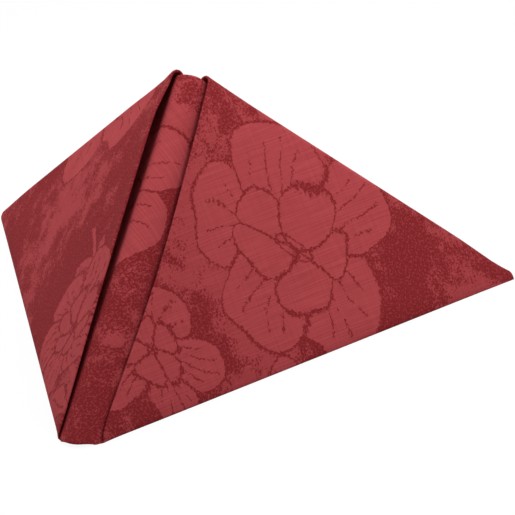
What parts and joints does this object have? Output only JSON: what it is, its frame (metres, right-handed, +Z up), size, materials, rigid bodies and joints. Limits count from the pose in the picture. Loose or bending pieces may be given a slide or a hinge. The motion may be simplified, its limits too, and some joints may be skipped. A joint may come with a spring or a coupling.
{
  "type": "paper napkin",
  "caption": "Square printed paper napkin in the pyramid fold, standing like a small tent on its two folded edges.",
  "frame": {"origin": "bottom centre of the box around the standing napkin, on the table", "axes": "+Z up, the ridge in the YZ plane with its tip towards -Y, the wings opening towards +Y"},
  "size_m": [0.1938, 0.1794, 0.0889],
  "materials": {
    "printed_paper": "matte"
  },
  "bodies": {
    "root": {"folded_napkin": "printed_paper"}
  },
  "joints": []
}
